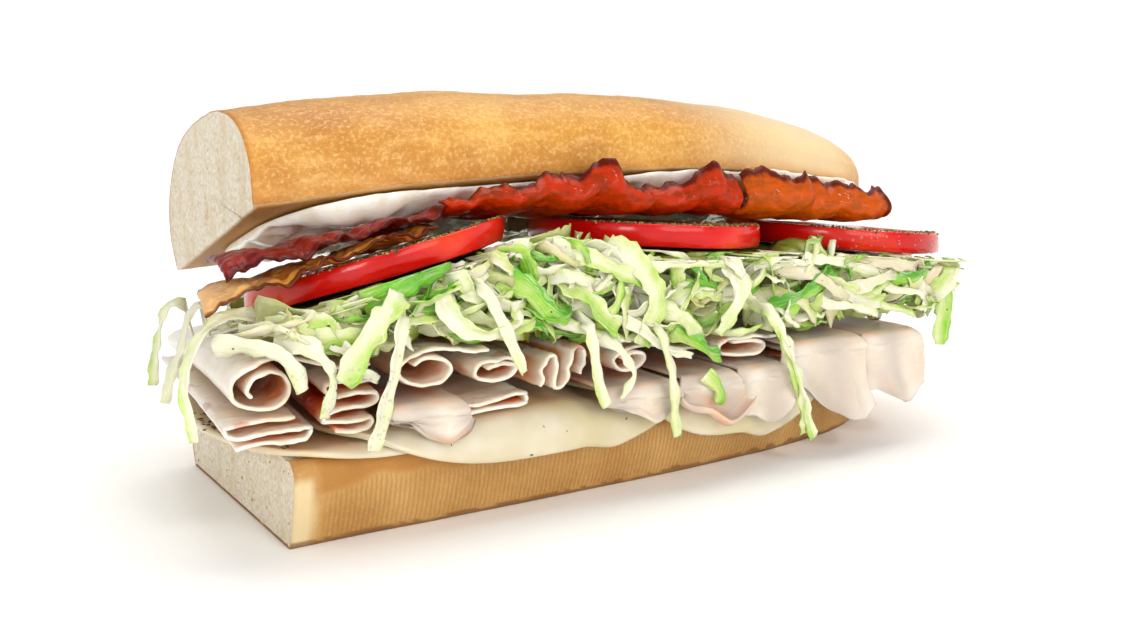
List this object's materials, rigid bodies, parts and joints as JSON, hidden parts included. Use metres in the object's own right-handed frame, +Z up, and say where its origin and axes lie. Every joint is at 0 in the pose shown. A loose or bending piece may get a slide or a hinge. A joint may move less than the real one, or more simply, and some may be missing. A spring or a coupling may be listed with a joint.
{
  "type": "submarine sandwich",
  "caption": "Split soft sub roll, cut across at one end, open along its front and filled with provolone, folded turkey, shredded lettuce, tomato, bacon and mayonnaise.",
  "frame": {"origin": "middle of the flat base on which the bottom half of the roll rests", "axes": "+X along the roll from its cut end to its rounded end, -Y out of the open front where the fillings show, +Z up"},
  "size_m": [0.2453, 0.1121, 0.1029],
  "materials": {
    "roll_crust": "baked, golden crust with a pale crumb on its cut faces",
    "roll_tray_side": "baked against a tray, matte, with a pale crumb on its cut faces",
    "mayonnaise": "wet and glossy",
    "provolone": "smooth with a faint sheen",
    "tomato": "wet cut flesh and shiny skin",
    "turkey": "moist, thin sliced",
    "bacon": "fried crisp, greasy",
    "lettuce": "crisp, moist leaf"
  },
  "bodies": {
    "root": {"bread_bottom": "roll_tray_side", "bread_top": "roll_crust", "mayonnaise": "mayonnaise", "cheese_1": "provolone", "cheese_2": "provolone", "cheese_3": "provolone", "tomato_1": "tomato", "tomato_2": "tomato", "tomato_3": "tomato", "bacon_1": "bacon", "bacon_2": "bacon", "bacon_3": "bacon", "bacon_4": "bacon", "turkey_1": "turkey", "turkey_2": "turkey", "turkey_3": "turkey", "turkey_4": "turkey", "turkey_5": "turkey", "turkey_6": "turkey", "turkey_7": "turkey", "turkey_8": "turkey", "turkey_9": "turkey", "turkey_10": "turkey", "turkey_11": "turkey", "turkey_12": "turkey", "turkey_13": "turkey", "turkey_14": "turkey", "turkey_15": "turkey", "turkey_16": "turkey", "lettuce": "lettuce"}
  },
  "joints": []
}
